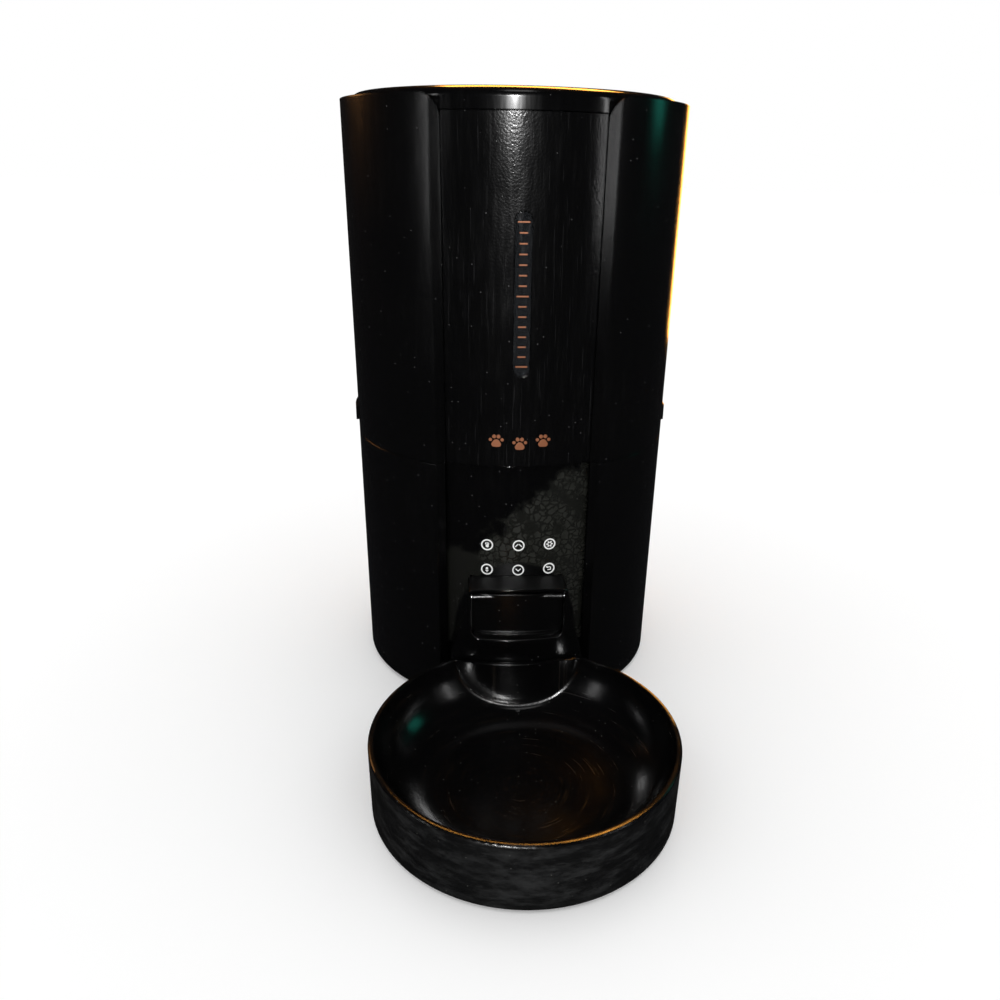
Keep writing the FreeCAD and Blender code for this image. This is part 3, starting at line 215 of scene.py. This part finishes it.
def bowl_finish():
    """Gloss inside with round wipe scratches tinted brown as a painted warm reflection, dull and dusty on
    the outer wall.
    """
    m = Mat("bowl_black", BLACK, 0.16, Specular_IOR_Level=0.5)
    centre = m.node("ShaderNodeVectorMath", operation="SUBTRACT")
    m.feed(centre.inputs[0], m.coords)
    centre.inputs[1].default_value = (0, BOWL_Y, 0)
    parts = m.node("ShaderNodeSeparateXYZ")
    m.feed(parts.inputs[0], centre.outputs[0])
    x, y, z = parts.outputs
    radius = m.math("SQRT", m.math("ADD", m.math("MULTIPLY", x, x), m.math("MULTIPLY", y, y)))
    turn = m.math("ARCTAN2", y, x)
    ring = m.node("ShaderNodeCombineXYZ")
    m.feed(ring.inputs[0], m.math("MULTIPLY", radius, 900.0))
    m.feed(ring.inputs[1], m.math("MULTIPLY", turn, 1.3))
    swirl = m.noise(1.0, 4.0, 0.65, ring.outputs[0])
    fine = m.span(swirl, 0.56, 0.66)
    outside = m.math("MULTIPLY", m.span(radius, 0.0785, 0.0795), m.span(z, 0.0385, 0.0370))
    cloud = m.noise(30.0, 4.0, 0.6)
    smear = m.noise(110.0, 7.0, 0.75, m.stretched((0.5, 0.5, 1.6), (0, 0.25, 0)))
    fleck = specks(m, 320.0, 0.11, 0.30)
    inner = m.math("ADD", m.span(cloud, 0.3, 0.7, 0.13, 0.20), m.math("MULTIPLY", fine, 0.10))
    rough = m.node("ShaderNodeMix", data_type="FLOAT")
    for socket, value in zip((0, 2, 3), (outside, inner, m.span(smear, 0.3, 0.7, 0.34, 0.55))):
        m.feed(rough.inputs[socket], value)
    dusty = m.mix(m.span(smear, 0.42, 0.72), (0.004, 0.0042, 0.0044), (0.020, 0.021, 0.0215))
    # the swirl scratches inside are tinted brown: a painted warm reflection on top of the wipe scratches
    tone = m.mix(outside, m.mix(m.math("MULTIPLY", fine, 0.5), BLACK, (0.013, 0.009, 0.006)), dusty)
    tone = m.mix(m.math("MULTIPLY", fleck, 0.7), tone, (0.10, 0.10, 0.09))
    normal = m.bump(swirl, 0.00004, 0.5, m.round_edges(0.0012))
    normal = m.bump(m.noise(1500.0, 2.0), 0.0001, 0.15, normal)
    return m.set(Base_Color=tone, Roughness=rough.outputs[0], Normal=normal)


def front_finish():
    """Fine-grained panel that glitters in the light, with wipe streaks and hairline scratches."""
    m = black_plastic("panel_grain", (0.0020, 0.0020, 0.0022), 0.14, grain=0.32, grain_scale=850.0,
                      dust=0.35, streak=0.35, edge=0.0012)
    wipes = m.noise(70.0, 3.0, 0.65, m.stretched((9.0, 9.0, 0.5), (0.0, 0.22, 0.0)), 0.3)
    hair = scratches(m, 60.0, (22.0, 22.0, 0.5), (0.0, 0.45, 0.0), 0.665, 0.69)
    mark = m.math("MAXIMUM", m.math("MULTIPLY", m.span(wipes, 0.56, 0.74), 0.22), hair)
    tone = m.mix(m.math("MULTIPLY", mark, 0.5), m.bsdf.inputs["Base Color"].links[0].from_socket,
                 (0.020, 0.020, 0.021))
    return m.set(Base_Color=tone)


def hood_finish():
    """Polished shell whose level top is dull with settled dust."""
    m = black_plastic("hood_black", BLACK, 0.13, dust=0.4, streak=0.2, wear=0.1, edge=0.0016)
    facing = m.node("ShaderNodeSeparateXYZ")
    m.feed(facing.inputs[0], m.node("ShaderNodeNewGeometry").outputs["Normal"])
    top = m.span(facing.outputs[2], 0.55, 0.95)
    return m.set(Roughness=m.math("ADD", m.bsdf.inputs["Roughness"].links[0].from_socket,
                                  m.math("MULTIPLY", top, 0.42), True))


def window_finish():
    m = Mat("window_smoke", (0.07, 0.075, 0.082), 0.06, Transmission_Weight=0.85, IOR=1.49)
    haze = m.noise(160.0, 3.0, 0.6, m.stretched((3.0, 3.0, 0.6)))
    return m.set(Roughness=m.span(haze, 0.35, 0.75, 0.04, 0.22),
                 Normal=m.bump(m.noise(700.0, 2.0), 0.0001, 0.08, m.round_edges(0.0004)))


finish = {
    "body_satin": black_plastic("body_satin", BLACK, 0.18, grain=0.10, dust=0.25, streak=0.12, wear=0.12,
                                edge=0.0012),
    "panel_texture": front_finish(),
    "gloss_black": black_plastic("polished_black", BLACK, 0.12, dust=0.3, streak=0.4),
    "window_clear": window_finish(),
    "copper_print": plain("copper_print", (0.36, 0.125, 0.05), 0.42, metal=0.3, grain=0.2),
    # the white print glows faintly: painted light, the print is no lamp
    "white_print": plain("white_print", (0.86, 0.87, 0.86), 0.55, Emission_Color=(1, 1, 1, 1),
                         Emission_Strength=0.12),
    "inner_grey": plain("inner_grey", (0.035, 0.035, 0.037), 0.5, grain=0.3),
    "silicone": plain("silicone", (0.20, 0.20, 0.21), 0.42),
    "rubber_black": plain("rubber_black", (0.012, 0.012, 0.012), 0.75, grain=0.4),
    "steel": plain("steel", (0.60, 0.60, 0.61), 0.32, metal=1.0),
    "motor_can": plain("motor_can", (0.50, 0.50, 0.52), 0.38, metal=1.0),
    "pcb": plain("pcb", (0.02, 0.16, 0.06), 0.35),
    "chips": plain("chips", (0.02, 0.02, 0.022), 0.5),
    "display_dark": plain("display_dark", (0.012, 0.012, 0.014), 0.12),
    "film": plain("film", (0.50, 0.30, 0.10), 0.25),
    "cell_jacket": plain("cell_jacket", (0.22, 0.22, 0.24), 0.3),
    "nickel": plain("nickel", (0.70, 0.68, 0.62), 0.2, metal=1.0),
    "sachet": plain("sachet", (0.80, 0.80, 0.78), 0.85, grain=0.6),
    "speaker_black": plain("speaker_black", (0.02, 0.02, 0.02), 0.8, grain=0.5),
}
special = {"control_panel": control_finish(), "bowl": bowl_finish(), "outlet_hood": hood_finish(),
           "outlet_flap": black_plastic("flap_grain", BLACK, 0.22, grain=0.25, grain_scale=2200.0, dust=0.5,
                                         streak=0.1, edge=0.0010)}

slots = {part["node"]: part["material_slot"] for part in frame["record"]["subparts"]}
for name, item in nodes.items():
    item.data.materials.clear()
    item.data.materials.append(special.get(name, finish[slots[name]]).mat)


# ---------------------------------------------------------------- stage, light, camera

def plane(name, size, at):
    mesh = bpy.data.meshes.new(name)
    w, h = size[0] / 2, size[1] / 2
    mesh.from_pydata([(-w, -h, 0), (w, -h, 0), (w, h, 0), (-w, h, 0)], [], [(0, 1, 2, 3)])
    obj = bpy.data.objects.new(name, mesh)
    bpy.context.scene.collection.objects.link(obj)
    obj.location = at
    return obj


floor = plane("Floor", (30.0, 30.0), (0, 0, 0))
pale = Mat("floor_pale", (0.90, 0.90, 0.90), 0.8, Specular_IOR_Level=0.0,
           Emission_Color=(1, 1, 1, 1), Emission_Strength=0.16)
pale.set(Base_Color=pale.mix(pale.noise(3.0, 4.0), (0.88, 0.88, 0.88), (0.92, 0.92, 0.92)),
         Normal=pale.bump(pale.noise(400.0, 3.0), 0.0003, 0.1))
floor.data.materials.append(pale.mat)
floor.visible_glossy = False


def area_light(name, at, target, size, watts, colour=(1, 1, 1)):
    lamp = bpy.data.lights.new(name, "AREA")
    lamp.shape = "RECTANGLE"
    lamp.size, lamp.size_y = size
    lamp.energy, lamp.color = watts, colour
    obj = bpy.data.objects.new(name, lamp)
    bpy.context.scene.collection.objects.link(obj)
    obj.location = at
    obj.rotation_euler = (Vector(target) - Vector(at)).to_track_quat("-Z", "Y").to_euler()
    return obj


tower = Vector((0, TOWER_Y, 0.18))
lamps = [
    area_light("KeyLamp", (-0.11, -1.75, 0.62), (0, 0, 0.30), (0.05, 0.22), 20.0),
    area_light("EdgeLeft", (-1.3, -0.75, 0.5), tower, (0.06, 0.7), 0.9),
    area_light("EdgeRight", (1.3, -0.75, 0.5), tower, (0.06, 0.7), 0.9),
    area_light("TopSoft", (0.0, -0.75, 1.5), (0, 0, 0.1), (0.35, 0.35), 0.7),
    area_light("WarmRight", (0.75, 1.6, 0.35), tower, (0.35, 0.9), 8.0, (1.0, 0.42, 0.08)),
    area_light("WarmLeft", (-1.3, 0.95, 0.75), tower, (0.5, 0.5), 3.8, (1.0, 0.45, 0.14)),
    area_light("WarmTop", (0.15, 0.65, 1.5), (0, 0.05, 0.3), (1.1, 0.5), 60.0, (1.0, 0.42, 0.07)),
    area_light("TealSide", (1.4, 0.25, 0.55), tower, (0.25, 0.35), 0.45, (0.05, 0.75, 0.55)),
]
for lamp in lamps:
    lamp.visible_diffuse = False    # they only shape the reflections; the pale surround does the rest

world = bpy.data.worlds.new("Studio")
bpy.context.scene.world = world
world.use_nodes = True
wt = world.node_tree
wt.nodes.clear()
sky = wt.nodes.new("ShaderNodeBackground")
sky.inputs["Color"].default_value = (1.0, 1.0, 1.0, 1)
dim = wt.nodes.new("ShaderNodeBackground")
dim.inputs["Color"].default_value = (0.012, 0.012, 0.013, 1)
path = wt.nodes.new("ShaderNodeLightPath")
blend = wt.nodes.new("ShaderNodeMixShader")
end = wt.nodes.new("ShaderNodeOutputWorld")
wt.links.new(path.outputs["Is Glossy Ray"], blend.inputs[0])
wt.links.new(sky.outputs[0], blend.inputs[1])
wt.links.new(dim.outputs[0], blend.inputs[2])
wt.links.new(blend.outputs[0], end.inputs[0])

scene = bpy.context.scene
scene.view_settings.view_transform = "Standard"

yaw, pitch, roll = math.radians(4.165), math.radians(-20.729), math.radians(1.159)
forward = Vector((math.sin(yaw) * math.cos(pitch), math.cos(yaw) * math.cos(pitch), math.sin(pitch)))
level = Vector((math.cos(yaw), -math.sin(yaw), 0))
upright = level.cross(forward)
right = math.cos(roll) * level + math.sin(roll) * upright
up = math.cos(roll) * upright - math.sin(roll) * level
camera = bpy.data.cameras.new("Camera")
camera.sensor_width, camera.lens = 36.0, 30.595
camera.shift_x, camera.shift_y = -0.0202, -0.0106
camera.clip_start, camera.clip_end = 0.01, 60.0
view = bpy.data.objects.new("Camera", camera)
scene.collection.objects.link(view)
view.matrix_world = Matrix.Translation((-0.03184, -0.46325, 0.31241)) @ Matrix(
    (right, up, -forward)).transposed().to_4x4()
scene.camera = view
